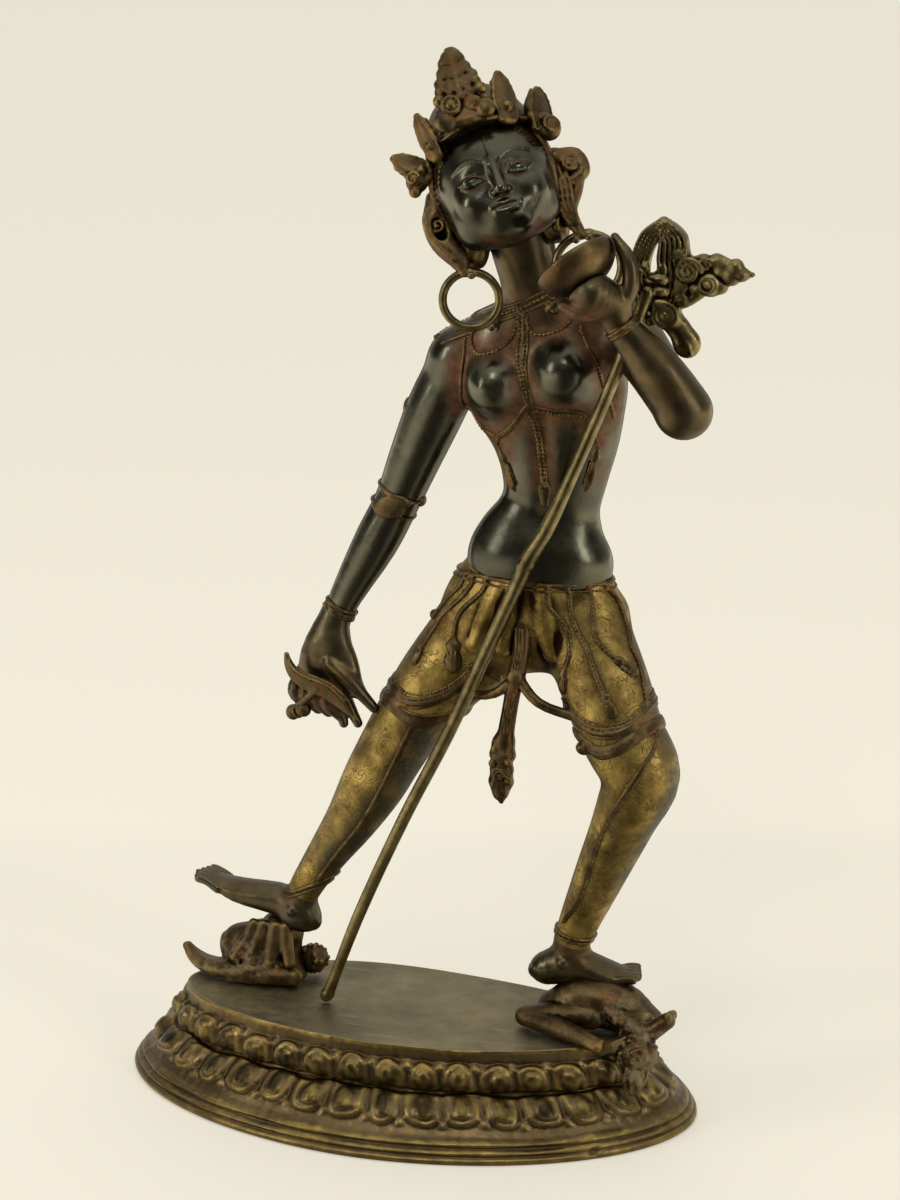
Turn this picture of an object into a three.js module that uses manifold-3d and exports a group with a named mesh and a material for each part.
// A cast statue of a striding goddess on an oval double-lotus plinth.
// Millimetres, +Z up. The origin is the middle of the plinth's underside,
// the front faces -Y and +X is the viewer's right.
import * as THREE from "three";
import { mergeVertices } from "three/addons/utils/BufferGeometryUtils.js";
import Module from "manifold-3d";

const wasm = await Module();
wasm.setup();

const point = (x, y, z) => new THREE.Vector3(x, y, z);
const toRadians = THREE.MathUtils.degToRad;

// Driving dimensions of the plinth
const GAP = 0.3; // between two castings that touch
const RIM_HALF_LENGTH = 108;
const RIM_HALF_DEPTH = 66;
const OVAL_POWER = 1.88; // 2 is an ellipse, less makes the ends pointed
const TOP_INSET = 24; // from the rim to the edge of the top plate, along X
const DEPTH_INSET_RATIO = 1.26; // insets are this much larger along Y
const TOP_SHIFT = -8; // the top plate sits a little towards the front
const TOP_HEIGHT = 35.5;
const RIM_HEIGHT = 8;
const WAIST_HEIGHT = 20;
const WAIST_INSET = 18;
const PETALS_PER_ROW = 32;
const COLUMNS_PER_PETAL = 2;
const PETAL_SWELL = 3.2;

// Driving dimensions of the figure: joints and main points of the body
const R_HIP = point(29, 2, 180);
const L_HIP = point(64, 1, 184);
const R_KNEE = point(-7, -2, 130);
const L_KNEE = point(89, -12, 136);
const R_ANKLE = point(-42, 0, 71);
const L_ANKLE = point(62.2, -3, 66.5);
const NECK_BASE = point(45.5, 2, 297);
const HEAD = point(32.1, -3, 339.1);
const R_SHOULDER = point(18, 3, 276.5);
const L_SHOULDER = point(77, 5, 290);
const R_ELBOW = point(-5.2, 2, 223.4);
const L_ELBOW = point(106, -27, 271);
const R_WRIST = point(-26.3, -2, 180.1);
const L_WRIST = point(84.5, -32, 300.5);
const CHEST_TURN = toRadians(8); // the chest faces this far towards +X
const FACE_TURN = toRadians(14);
const FACE_LIFT = toRadians(27); // the face looks up
const HEAD_LEAN = toRadians(26); // the top of the head leans towards -X
const HOOP_TUBE = 1.5;

// Driving dimensions of what the hands hold
const STAFF_RADIUS = 2.3;
const STAFF_FOOT = point(-28, -15.4, TOP_HEIGHT - 1); // cut off level on the plate
const STAFF_KNOB = point(49.3, -19.3, 212);
const STAFF_NECK = point(90.5, -18.5, 309);
const CUP_RADIUS = 14.4;
const CUP_DEPTH = 10;
const CUP_WALL = 1.7;
const CUP_PLACE = point(72.5, -34.5, 317);
const CUP_AXIS = point(-0.646, 0.272, 0.749).normalize();

const ACROSS_CHEST = point(Math.cos(CHEST_TURN), Math.sin(CHEST_TURN), 0);
const ALONG_X = point(1, 0, 0);
const ALONG_Y = point(0, 1, 0);

// A closed limb: oval sections strung along a smooth line through the stations.
// A station is [centre, half width, half depth], and across is the width's direction.
function limb(stations, { across = ALONG_X, sides = 8, spans = 1, grow = 0 } = {}) {
  const centres = new THREE.CatmullRomCurve3(stations.map(([centre]) => centre), false, "centripetal");
  const sizes = new THREE.CatmullRomCurve3(
    stations.map(([, wide, deep = wide]) => point(wide + grow, deep + grow, 0)),
    false,
    "catmullrom",
  );
  const rings = spans * (stations.length - 1);
  const fuller = 2 / (1 + Math.cos(Math.PI / sides)); // a flat-sided section as full as a round one
  const skin = new THREE.CylinderGeometry(1, 1, 1, sides, rings);
  const vertices = skin.attributes.position;
  for (let i = 0; i < vertices.count; i++) {
    const along = vertices.getY(i) + 0.5;
    const tangent = centres.getTangent(along);
    const wideway = across.clone().addScaledVector(tangent, -across.dot(tangent)).normalize();
    const deepway = wideway.clone().cross(tangent);
    const size = sizes.getPoint(along);
    const vertex = centres
      .getPoint(along)
      .addScaledVector(wideway, vertices.getX(i) * size.x * fuller)
      .addScaledVector(deepway, vertices.getZ(i) * size.y * fuller);
    vertices.setXYZ(i, vertex.x, vertex.y, vertex.z);
  }
  return skin;
}

// Four stations that raise a ring round a limb at centre, along its direction.
function raised(centre, direction, wide, deep, height, halfWidth) {
  const step = direction.clone().normalize();
  return [[-1.5, 0], [-1, height], [1, height], [1.5, 0]].map(([share, extra]) => [
    centre.clone().addScaledVector(step, share * halfWidth),
    wide + extra,
    deep + extra,
  ]);
}

// A closed ball or egg, with its half sizes along X, Y and Z.
function ball(centre, wide, deep = wide, tall = wide, sides = 10, rings = 7) {
  return new THREE.SphereGeometry(1, sides, rings)
    .rotateX(Math.PI / 2)
    .scale(wide, deep, tall)
    .translate(centre.x, centre.y, centre.z);
}

// The solid of one closed geometry, and one geometry from several solids.
function solidOf(geometry) {
  const bare = geometry.clone();
  bare.deleteAttribute("normal");
  bare.deleteAttribute("uv");
  const merged = mergeVertices(bare, 1e-4);
  return new wasm.Manifold(
    new wasm.Mesh({
      numProp: 3,
      vertProperties: new Float32Array(merged.attributes.position.array),
      triVerts: new Uint32Array(merged.index.array),
    }),
  );
}

function geometryOf(solid) {
  const mesh = solid.getMesh();
  return new THREE.BufferGeometry()
    .setAttribute("position", new THREE.BufferAttribute(new Float32Array(mesh.vertProperties), 3))
    .setIndex(new THREE.BufferAttribute(new Uint32Array(mesh.triVerts), 1));
}

const joined = (geometries) => geometries.map(solidOf).reduce((whole, next) => whole.add(next));

// A point on the oval of the plinth, moved in from the rim and shifted with the top.
function ovalPoint(angle, inset, height) {
  const cosine = Math.cos(angle);
  const sine = Math.sin(angle);
  const power = 2 / OVAL_POWER;
  const rise = Math.min(Math.max((height - RIM_HEIGHT) / (TOP_HEIGHT - RIM_HEIGHT), 0), 1);
  const halfDepth = RIM_HALF_DEPTH - inset * DEPTH_INSET_RATIO;
  return point(
    (RIM_HALF_LENGTH - inset) * Math.sign(cosine) * Math.abs(cosine) ** power,
    halfDepth * Math.sign(sine) * Math.abs(sine) ** power + TOP_SHIFT * rise,
    height,
  );
}

// The angle at which a share of the way round the oval has been walked, for even petals.
const OVAL_STEPS = 1440;
const walked = [0];
for (let i = 1; i <= OVAL_STEPS; i++) {
  const from = ovalPoint((2 * Math.PI * (i - 1)) / OVAL_STEPS, WAIST_INSET, WAIST_HEIGHT);
  const to = ovalPoint((2 * Math.PI * i) / OVAL_STEPS, WAIST_INSET, WAIST_HEIGHT);
  walked.push(walked[i - 1] + from.distanceTo(to));
}
function ovalAngle(share) {
  const target = (share % 1) * walked[OVAL_STEPS];
  return (2 * Math.PI * walked.findIndex((length) => length >= target)) / OVAL_STEPS;
}

// The plinth is a turned profile bent to the oval. A profile row is [inset, height, swell],
// and the swell pushes each petal of that row out into a round dome.
function plinth(grow = 0) {
  const profile = [
    [0.8, 0, 0],
    [0, 1.4, 0],
    [4.4, RIM_HEIGHT, 0],
    [7, RIM_HEIGHT + 1.6, 0.8],
    [11.6, 14.4, 1],
    [WAIST_INSET, WAIST_HEIGHT, 0],
    [WAIST_INSET + 1, 25, 1],
    [WAIST_INSET + 2.4, 28.6, 0.8],
    [TOP_INSET - 2.2, 30.2, 0],
    [TOP_INSET - 0.4, TOP_HEIGHT - 1.4, 0],
    [TOP_INSET, TOP_HEIGHT, 0],
  ];
  const outline = profile.map(([inset, height]) => new THREE.Vector2(RIM_HALF_LENGTH - inset, height));
  outline.unshift(new THREE.Vector2(0, 0));
  outline.push(new THREE.Vector2(0, TOP_HEIGHT));
  const columns = PETALS_PER_ROW * COLUMNS_PER_PETAL;
  const body = new THREE.LatheGeometry(outline, columns);
  const vertices = body.attributes.position;
  for (let i = 0; i < vertices.count; i++) {
    const column = Math.floor(i / outline.length) % columns;
    const row = (i % outline.length) - 1;
    const height = vertices.getY(i);
    if (row < 0 || row >= profile.length) {
      vertices.setXYZ(i, 0, TOP_SHIFT * Math.sign(height), height + grow * Math.sign(height));
      continue;
    }
    const [inset, , swell] = profile[row];
    const petalShare = (column % COLUMNS_PER_PETAL) / COLUMNS_PER_PETAL;
    const dome = petalShare === 0 ? 0 : 1;
    const angle = ovalAngle(column / columns);
    const place = ovalPoint(angle, inset - swell * dome * PETAL_SWELL - grow, height);
    vertices.setXYZ(i, place.x, place.y, height + (row === profile.length - 1 ? grow : 0));
  }
  return solidOf(body);
}

// The torso, from the hips under the skirt to the neck
function torso() {
  return [
    limb(
      [
        [point(47.8, 1, 200.5), 23, 12.4],
        [point(48, 0.6, 204.5), 26, 14.2],
        [point(48.4, 0.8, 209.5), 26, 14.4],
        [point(49.6, 1.6, 216.5), 22, 12.6],
        [point(52, 2, 225), 17, 11],
        [point(52.8, 2, 238), 18.8, 12],
        [point(52.8, 2, 254), 23.6, 13.6],
        [point(50.4, 2, 267), 28, 14.6],
        [point(47.6, 2.5, 279), 27.6, 13],
        [NECK_BASE.clone().add(point(-0.5, 0.6, -3)), 14, 9],
      ],
      { across: ACROSS_CHEST, sides: 12 },
    ),
    limb(
      [
        [R_SHOULDER, 9.4],
        [point(31.4, 3, 286.4), 10.4, 9.6],
        [point(60, 4, 291.5), 10.2, 9.4],
        [L_SHOULDER, 9.6],
      ],
      { across: ALONG_Y },
    ),
    ball(point(34.4, -8.8, 271), 10.3, 10.5, 10.7, 9, 6),
    ball(point(59.4, -8.2, 277.6), 10.9, 10.9, 11.1, 9, 6),
    limb([[NECK_BASE, 11.6, 9.6], [point(43.6, 0, 306), 10.2, 8.6], [point(39.6, -2, 322), 10.4, 9]]),
  ];
}

// The skirt: hips, belt, both legs to the ankle, and the ridged hems above the knees
function skirt() {
  const rightLeg = [
    [R_HIP, 18.2, 13.6],
    [point(12.2, -0.4, 160.4), 15.4, 13.4],
    ...raised(point(3.4, -1.4, 148), R_KNEE.clone().sub(R_HIP), 13.6, 13, 0.8, 2.6),
    [R_KNEE, 12.4, 12.4],
    [point(-13, -2.6, 118.5), 11.8, 12],
    [point(-21.8, -2, 103), 9.6, 10.6],
    [point(-32.4, -1, 87), 7.4, 8.4],
    [R_ANKLE, 6, 6.4],
    [point(-44.4, 0, 63), 5.8, 6.4],
  ];
  const leftLeg = [
    [L_HIP, 15.6, 13.6],
    [point(73.6, -5, 165), 15.8, 14.4],
    ...raised(point(81.8, -9.4, 148), L_KNEE.clone().sub(L_HIP), 14.8, 14.2, 1.3, 3.4),
    [L_KNEE, 14, 13],
    [point(83.4, -10.5, 119), 11.4, 11.6],
    [point(72, -6.6, 91.5), 8.9, 9.4],
    [L_ANKLE, 6.7, 7.2],
    [point(61, -3, 58), 6.4, 6.8],
  ];
  const hip = [
    [point(47.6, 0.8, 205), 25, 13.6],
    [point(47.6, 0.8, 203.6), 26.6, 15],
    [point(47.4, 0.8, 200.6), 26.8, 15],
    [point(47.2, 1, 199.4), 27, 13.8],
    [point(45.8, 2, 188), 32.4, 14.8],
    [point(46.6, 2, 176), 25, 11],
  ];
  return [
    limb(hip, { across: ACROSS_CHEST, sides: 12 }),
    limb(rightLeg, { sides: 10 }),
    limb(leftLeg, { sides: 10 }),
  ];
}

// The sash: it hangs from the belt, forks to both thighs and ends in a tassel
function sash() {
  const fork = point(44.5, -15, 168);
  const strip = (...stations) => limb(stations, { sides: 5 });
  return [
    strip([point(45.5, -10, 190), 3, 2.4], [point(45.6, -13.5, 178), 3, 2.2], [fork, 3.4, 2.4]),
    strip([fork, 2, 1.8], [point(36, -15, 161), 1.8, 1.6], [point(20, -9, 157.5), 2, 1.8]),
    strip([fork, 2, 1.8], [point(53, -17, 160), 1.8, 1.6], [point(68, -15, 155), 2, 1.8]),
    limb(
      [
        [point(44.2, -15, 169), 3, 2.2],
        [point(42.4, -16, 157), 3, 2.2],
        [point(40.8, -16.5, 146), 3.6, 2.8],
        [point(40.2, -16.8, 140.5), 4.8, 3.6],
        [point(39.4, -17, 136), 3.6, 3],
        [point(39.4, -17, 130), 4.8, 3.8],
        [point(39.6, -17, 122), 1.6, 1.4],
      ],
      { sides: 6 },
    ),
  ];
}

// Feet: grow makes the clearance that is cut out of what they stand on
function feet(grow = 0) {
  const turnedOut = (heel, instep, ballOfFoot, toes) =>
    limb(
      [
        [heel, 3.6, 3.6],
        [heel.clone().lerp(instep, 0.3), 6.2, 6.2],
        [instep, 6.8, 6.2],
        [ballOfFoot, 7.4, 4.2],
        [toes, 6, 2.4],
      ],
      { across: ALONG_Y, sides: 8, grow },
    );
  const toeRow = (root, tip) => {
    const toes = [];
    for (let i = 0; i < 5; i++) {
      const side = (i - 2) * 3;
      const shorter = Math.abs(i - 1) * 0.9;
      const reach = tip.clone().sub(root).normalize();
      const from = root.clone().add(point(0, side, 0));
      const to = tip.clone().addScaledVector(reach, -shorter).add(point(0, side, 0));
      toes.push(limb([[from, 2], [to, 1.8]], { across: point(0, 1, 0.9), sides: 4, grow }));
    }
    return toes;
  };
  return [
    turnedOut(point(-38.6, 0.5, 60), point(-49, 1.5, 66), point(-68, 3.6, 67.6), point(-78, 5, 69.8)),
    ...toeRow(point(-75, 4.6, 69), point(-83.6, 5.6, 72.4)),
    turnedOut(point(50, -5, 54.5), point(62, -3.2, 57.6), point(75, -0.5, 54.4), point(82, 1, 53.6)),
    ...toeRow(point(79, 0.6, 53.8), point(86, 2, 54.6)),
  ];
}

// Arms with their bands. The right one hangs, the left one is folded up to the face.
function arms() {
  const rightDown = R_WRIST.clone().sub(R_SHOULDER);
  return [
    limb(
      [
        [R_SHOULDER.clone().add(point(0.6, 0, 2)), 10, 9],
        [R_SHOULDER.clone().lerp(R_ELBOW, 0.35).add(point(-0.8, 0, 0)), 10.6, 9.6],
        [R_SHOULDER.clone().lerp(R_ELBOW, 0.7).add(point(-0.5, 0, 0)), 9.4, 9],
        ...raised(R_ELBOW, rightDown, 8.2, 8.2, 1, 2),
        [R_ELBOW.clone().lerp(R_WRIST, 0.35), 8, 7.8],
        [R_WRIST.clone().add(point(0.4, 0, 2)), 5.6, 5],
        [R_WRIST.clone().add(point(-1.6, -0.6, -6)), 5.6, 4.6],
      ],
      { sides: 8 },
    ),
    ball(R_SHOULDER.clone().add(point(-0.6, 0, -0.4)), 10.8, 10, 10, 7, 4),
    ball(R_ELBOW.clone().add(point(8.4, 0, 1)), 2.6, 2.6, 2.8, 4, 3),
    ball(R_SHOULDER.clone().lerp(R_ELBOW, 0.36).add(point(-10, -1, 0)), 2.4, 4, 4.4, 4, 3),
    limb([
      [L_SHOULDER.clone().add(point(-3, 3, 2)), 8, 8],
      [L_SHOULDER, 10, 9.6],
      [L_SHOULDER.clone().lerp(L_ELBOW, 0.5), 9.4, 9],
      [L_ELBOW.clone().add(point(-1, 1, 0)), 9, 9],
    ]),
    ball(L_ELBOW, 9.9, 9.3, 9.5, 8, 5),
    limb([
      [L_ELBOW.clone().add(point(0.4, 0, 0.6)), 9.4],
      [L_ELBOW.clone().lerp(L_WRIST, 0.45).add(point(1, 0, 0.6)), 8.6, 8],
      [L_WRIST, 5.6, 5.2],
    ]),
  ];
}

// Hands: the right one is closed round the chopper, the left one carries the cup
function hands() {
  const finger = (...stations) => limb(stations, { sides: 5 });
  const pieces = [];
  for (let i = 0; i < 4; i++) {
    const row = i * 4;
    pieces.push(
      finger(
        [point(-39 + row, -5, 159 - 0.8 * i), 2.6],
        [point(-40 + row, -11, 153 - 0.8 * i), 2.6],
        [point(-36.5 + row, -7, 147 - 0.8 * i), 2.4],
      ),
      finger(
        [point(80.5 - 1.2 * i, -36 + 1.4 * i, 306.5), 2.6],
        [point(74 - 0.8 * i, -41 + 3.2 * i, 305), 2.4],
        [point(67.5 - 0.4 * i, -41 + 4.4 * i, 307.5), 1.8],
      ),
    );
  }
  pieces.push(
    limb([[R_WRIST, 4.8, 4.4], [point(-32.4, -5, 164), 8.2, 5], [point(-32, -5.6, 152), 8.8, 5.6]]),
    finger([point(-27, -8, 164), 3.2], [point(-19, -10, 158), 2.8], [point(-10.8, -8.4, 148.6), 1.8]),
    finger([point(-26, -5.4, 151), 2.6], [point(-22.6, -7.6, 141.4), 1.7]),
    finger([point(-24.6, -4.6, 152.6), 2.8], [point(-17.8, -6, 141.4), 1.7]),
    limb([[L_WRIST, 5.4, 4.8], [point(81.5, -33.5, 308), 6.6, 6], [point(76, -36.6, 311.4), 8, 7.4]]),
    finger(
      [point(85, -33, 306), 3.2],
      [point(88.4, -32.4, 315), 3],
      [point(86.6, -31, 323), 2.6],
      [point(82, -30, 329.4), 1.5],
    ),
  );
  return pieces;
}

// The head stands in a frame of its own: x to the viewer's right, y to the back, z up
function headFrame() {
  const facing = point(
    Math.sin(FACE_TURN) * Math.cos(FACE_LIFT),
    -Math.cos(FACE_TURN) * Math.cos(FACE_LIFT),
    Math.sin(FACE_LIFT),
  );
  const leaning = point(-Math.sin(HEAD_LEAN), 0.3, Math.cos(HEAD_LEAN));
  const up = leaning.addScaledVector(facing, -leaning.dot(facing)).normalize();
  const side = up.clone().cross(facing);
  return new THREE.Matrix4().makeBasis(side, facing.negate(), up).setPosition(HEAD);
}

// A crown leaf: a flat pointed blade that stands on the head band
function crownLeaf(base, tip, halfWidth, across) {
  return limb(
    [
      [base, 0.8 * halfWidth, 2],
      [base.clone().lerp(tip, 0.4), halfWidth, 1.8],
      [base.clone().lerp(tip, 0.8), 0.66 * halfWidth, 1.5],
      [tip, 0.24 * halfWidth, 0.8],
    ],
    { across, sides: 6 },
  );
}

function head() {
  const knob = (x, y, z, size, thickness) => ball(point(x, y, z), size, thickness, size, 5, 4);
  const pieces = [
    ball(point(0.4, 4, 2), 22, 25, 21, 12, 7),
    ball(point(0.4, -4, -8), 18.6, 15.6, 15, 10, 6),
    limb([[point(0, -19, 1), 1.6, 1.4], [point(0, -21.4, -5.6), 2.4, 2], [point(0, -19, -8), 2.6, 1]], {
      sides: 5,
    }),
    ball(point(0, 27, 2), 8.6, 7.6, 9, 7, 4),
    limb([[point(0.4, 1, 10.6), 22.2, 22.6], [point(0.4, 0.6, 19), 18.4, 19.4]], { sides: 12 }),
    limb(
      [
        [point(-3.4, -20.4, 15), 8.6, 2.4],
        [point(-2.8, -18.8, 26), 7.6, 2.2],
        [point(-2.2, -17, 34), 6.2, 2],
        [point(-1.2, -15.4, 41.6), 4, 1.6],
        [point(-0.4, -14.6, 46.4), 1.6, 1],
      ],
      { sides: 6 },
    ),
    crownLeaf(point(10.6, -16.6, 15), point(12.2, -14, 33.6), 4.8, point(1, 0.6, 0)),
    crownLeaf(point(-16, -11.6, 12.4), point(-18, -12, 28.6), 3.6, point(1, -0.6, 0)),
    crownLeaf(point(-20, -3, 9), point(-30.6, -4, 19.4), 4.6, point(0.6, 0.2, 0.7)),
    crownLeaf(point(20.6, -8, 11), point(23.6, -6, 26.2), 5.6, point(1, 1, 0)),
    knob(-9.6, -20.4, 20.6, 4.4, 2.6),
    knob(4.4, -21.4, 20.6, 3.6, 2.4),
    knob(23, -8, 10.4, 4.4, 3.4),
    knob(-25, -3, 8.6, 3.8, 3),
    limb(
      [
        [point(22, -1, 2.4), 3.6, 4],
        [point(26.4, 0, -3), 4.4, 3.4],
        [point(24.4, 1, -9.4), 4, 4],
        [point(20.6, 1, -16), 3.6, 4.4],
        [point(22.4, 0.6, -26), 1.8, 1.8],
      ],
      { sides: 6 },
    ),
    limb(
      [
        [point(-21, 1, 2), 3.4, 4],
        [point(-23.6, 0.6, -6), 4.4, 4],
        [point(-22.8, 0.6, -13), 4.8, 4],
        [point(-19.6, 0.6, -21), 4, 3.4],
        [point(-19.6, 0.4, -25.6), 1.8, 1.8],
      ],
      { sides: 6 },
    ),
  ];
  for (const side of [-1, 1]) {
    for (const [height, out] of [[28.4, 7.8], [33.6, 6.8]]) {
      pieces.push(ball(point(-2.2 + side * out, -17.6, height), 2.1, 2, 2.1, 4, 3));
    }
    pieces.push(ball(point(side * 14.6, 5, -18), 7, 8, 8, 6, 3));
    pieces.push(
      limb(
        [
          [point(side * 19.4, -7, 12), 2.6, 3.4],
          [point(side * 20.4, -4, 0), 3, 4],
          [point(side * 16.6, 0, -15), 5, 5],
        ],
        { sides: 5 },
      ),
    );
  }
  return pieces.map((piece) => piece.applyMatrix4(headFrame()));
}

// A hoop hangs from the lobe of each ear
function hoops() {
  const hoop = (lobe, radius) => {
    const hook = lobe.clone().applyMatrix4(headFrame());
  return new THREE.TorusGeometry(radius, HOOP_TUBE, 4, 12)
      .rotateX(Math.PI / 2)
      .rotateZ(toRadians(18))
      .translate(hook.x + 2.4, hook.y + 0.8, hook.z - radius);
  };
  return [hoop(point(-19.6, 0.4, -25.4), 9.6), hoop(point(22.4, 0.6, -25.6), 11.2)];
}

// Locks of hair down the nape
function nape() {
  return [
    limb(
      [
        [point(28, 22, 342), 6, 4],
        [point(37, 20, 326), 6.4, 3.6],
        [point(43.5, 15, 308), 6, 3.4],
        [point(46, 14, 292), 4.6, 3],
        [point(46.6, 15, 280), 2, 2],
      ],
      { across: ACROSS_CHEST, sides: 6 },
    ),
  ];
}

// The chopper: a crescent blade, and a grip that passes through the fist to a knob
function chopper(grow = 0) {
  const blade = limb(
    [
      [point(-42.4, -12.5, 167), 0.6, 0.5],
      [point(-40.5, -13.5, 161.6), 2.2, 0.9],
      [point(-34.5, -14.6, 158.6), 3.2, 1.1],
      [point(-26.5, -15.2, 156.4), 3.4, 1.1],
      [point(-19.6, -15.4, 151.6), 2.6, 1],
      [point(-15.4, -15, 146), 0.7, 0.5],
    ],
    { across: point(0.4, 0, 1), sides: 6, spans: 2, grow },
  );
  return [
    blade,
    limb([[point(-30, -14.6, 156), 1.6], [point(-36, -12, 150), 1.8], [point(-40, -9, 145.5), 1.6]], {
      sides: 5,
      grow,
    }),
    ball(point(-36.6, -11.6, 146.4), 3 + grow, 2.6 + grow, 2.8 + grow, 6, 4),
    ball(point(-41.6, -8.6, 144), 2.8 + grow, 2.6 + grow, 3 + grow, 6, 4),
  ];
}

// The cup: a shallow bowl on a tilted axis. With grow it is the solid space that the cup fills.
function cup(grow = 0) {
  const steps = 4;
  const wall = (radius, depth) => {
    const arc = [];
    for (let i = 0; i <= steps; i++) {
      const turn = (i / steps) * 0.5 * Math.PI;
      arc.push(new THREE.Vector2(radius * Math.sin(turn), -depth * Math.cos(turn)));
    }
    return arc;
  };
  const outside = wall(CUP_RADIUS + grow, CUP_DEPTH + grow);
  const inside = wall(CUP_RADIUS - CUP_WALL, CUP_DEPTH - CUP_WALL).reverse();
  const profile = [...outside, ...(grow > 0 ? [new THREE.Vector2(0, grow)] : inside)];
  const rimCentre = CUP_PLACE.clone().addScaledVector(CUP_AXIS, CUP_DEPTH / 2);
  return new THREE.LatheGeometry(profile, 16)
    .applyQuaternion(new THREE.Quaternion().setFromUnitVectors(ALONG_Y, CUP_AXIS))
    .translate(rimCentre.x, rimCentre.y, rimCentre.z);
}

// The staff: a rod with a knob, and a head of ribbons and flowers
function staff() {
  const ribbon = (...stations) => limb(stations, { across: ALONG_Y, sides: 5 });
  const boss = (x, y, z, size, thickness) => ball(point(x, y, z), size, thickness, size, 7, 5);
  return [
    limb(
      [
        [STAFF_FOOT, 2.4],
        [point(-15, -16.5, 70.2), 2.3],
        [point(4, -18, 112.6), 2.3],
        [point(20.3, -18.6, 145.5), 2.4],
        [point(34.4, -19, 177.4), 2.5],
        [STAFF_KNOB, 3.2],
        [point(56, -19.3, 223.6), 3],
        [point(63.6, -19.3, 240.6), 2.6],
        [point(75.9, -19, 270.3), STAFF_RADIUS],
        [STAFF_NECK, STAFF_RADIUS],
      ],
      { sides: 6 },
    ),
    ribbon(
      [point(89.4, -14.6, 307), 3, 3.6],
      [point(87.4, -13, 317), 3, 4],
      [point(89.6, -13, 325.6), 3, 4],
      [point(94.4, -13, 331), 2.6, 2],
    ),
    ribbon(
      [point(93, -14, 332), 1, 1.4],
      [point(99, -14, 326.4), 3, 4.8],
      [point(102.6, -14, 319.6), 3, 5.6],
      [point(103.6, -14, 312), 3, 4.4],
    ),
    boss(94, -15.5, 308, 5.6, 4),
    boss(96, -15.5, 300, 5, 3.4),
    boss(102.4, -11.5, 291, 5, 2.8),
    boss(110, -14, 314, 5.4, 3.4),
    ribbon(
      [point(107, -14, 314), 4, 4],
      [point(113, -14, 317), 3.6, 4],
      [point(119, -14, 317.4), 3, 3.2],
      [point(125, -14, 316), 0.9, 0.9],
    ),
    ribbon([point(97, -14, 304), 2, 1.8], [point(102, -14, 305.4), 2, 1.8], [point(106, -14, 311), 2, 1.8]),
    limb([[point(96, -14.6, 301), 3.4], [point(102, -12, 292), 3]], { sides: 5 }),
  ];
}

// The two lying figures. Each is cut clear of the feet above and of the plinth below.
function trampledUnderRightFoot() {
  const smallLimb = (...stations) => limb(stations, { sides: 6 });
  return [
    limb(
      [
        [point(-89, 2, 43), 2.4, 2],
        [point(-83, 1, 40), 5.4, 3.4],
        [point(-74, 3, 41), 8.4, 5.4],
        [point(-65, 4, 47), 9.6, 10.6],
        [point(-53, 4, 50), 10, 12],
        [point(-44, 5, 45), 8, 8],
      ],
      { across: ALONG_Y, sides: 8 },
    ),
    ball(point(-41, 8, 41), 6.4, 6, 5.6, 7, 5),
    smallLimb([point(-40, -5, 39.6), 3.6], [point(-55, -6.6, 40.4), 4.8], [point(-66, -7, 38.6), 3.4]),
    smallLimb([point(-50, 13, 40), 4], [point(-60, 13, 41), 4.6], [point(-70, 15, 38.6), 3]),
  ];
}

function trampledUnderLeftFoot() {
  const smallLimb = (...stations) => limb(stations, { sides: 6 });
  return [
    limb(
      [
        [point(57, -7, 42), 7, 6],
        [point(67, -6, 45), 9.4, 9.4],
        [point(80, -5, 44), 9.6, 9.4],
        [point(91, -9, 40), 8, 7],
      ],
      { across: ALONG_Y, sides: 8 },
    ),
    smallLimb([point(72, -12, 41), 5], [point(60, -14, 41), 4.6], [point(48, -13, 38.8), 3.8]),
    smallLimb([point(48, -13, 38.6), 3.6], [point(62, -21, 38.2), 3.4], [point(77, -26.5, 37.4), 2.8]),
    smallLimb([point(88, -14, 42), 4.6], [point(95, -18, 41), 4], [point(102, -19, 47), 3.4]),
    ball(point(102.6, -19, 48), 3.6, 3.4, 3.4, 6, 4),
    ball(point(92, -20, 35), 8, 8, 8.4, 8, 6),
    smallLimb([point(92, -24, 36), 7, 5.4], [point(93, -28, 29), 5.6, 4.4], [point(92, -29, 23), 2.8, 2.6]),
  ];
}

// The named castings and their finishes
const finish = (color, roughness) => new THREE.MeshStandardMaterial({ color, roughness, metalness: 1 });
const DARK_PATINA = finish(0x2b2f2a, 0.32);
const WORN_BASE = finish(0x5a4d30, 0.5);
const OLIVE_BRASS = finish(0x6e6236, 0.4);
const BROWN_BRONZE = finish(0x453a26, 0.5);

const statue = new THREE.Group();

function cast(name, solid, material) {
  const mesh = new THREE.Mesh(geometryOf(solid), material);
  mesh.name = name;
  statue.add(mesh);
}

const soles = joined(feet(GAP));
const clearPlinth = plinth(GAP);
const grippedChopper = joined(chopper(GAP));
const clearCup = solidOf(cup(GAP));

const goddess = joined([
  ...torso(),
  ...skirt(),
  ...sash(),
  ...feet(),
  ...arms(),
  ...hands(),
  ...head(),
  ...hoops(),
  ...nape(),
]);
const lyingRight = joined(trampledUnderRightFoot());
const lyingLeft = joined(trampledUnderLeftFoot());

cast("lotus_plinth", plinth(), WORN_BASE);
cast("goddess", goddess.subtract(grippedChopper).subtract(clearCup), DARK_PATINA);
cast("khatvanga_staff", joined(staff()).subtract(clearPlinth), OLIVE_BRASS);
cast("curved_chopper", joined(chopper()), OLIVE_BRASS);
cast("skull_cup", solidOf(cup()), BROWN_BRONZE);
cast("trampled_figure_right_foot", lyingRight.subtract(soles).subtract(clearPlinth), BROWN_BRONZE);
cast("trampled_figure_left_foot", lyingLeft.subtract(soles).subtract(clearPlinth), BROWN_BRONZE);

export default statue;
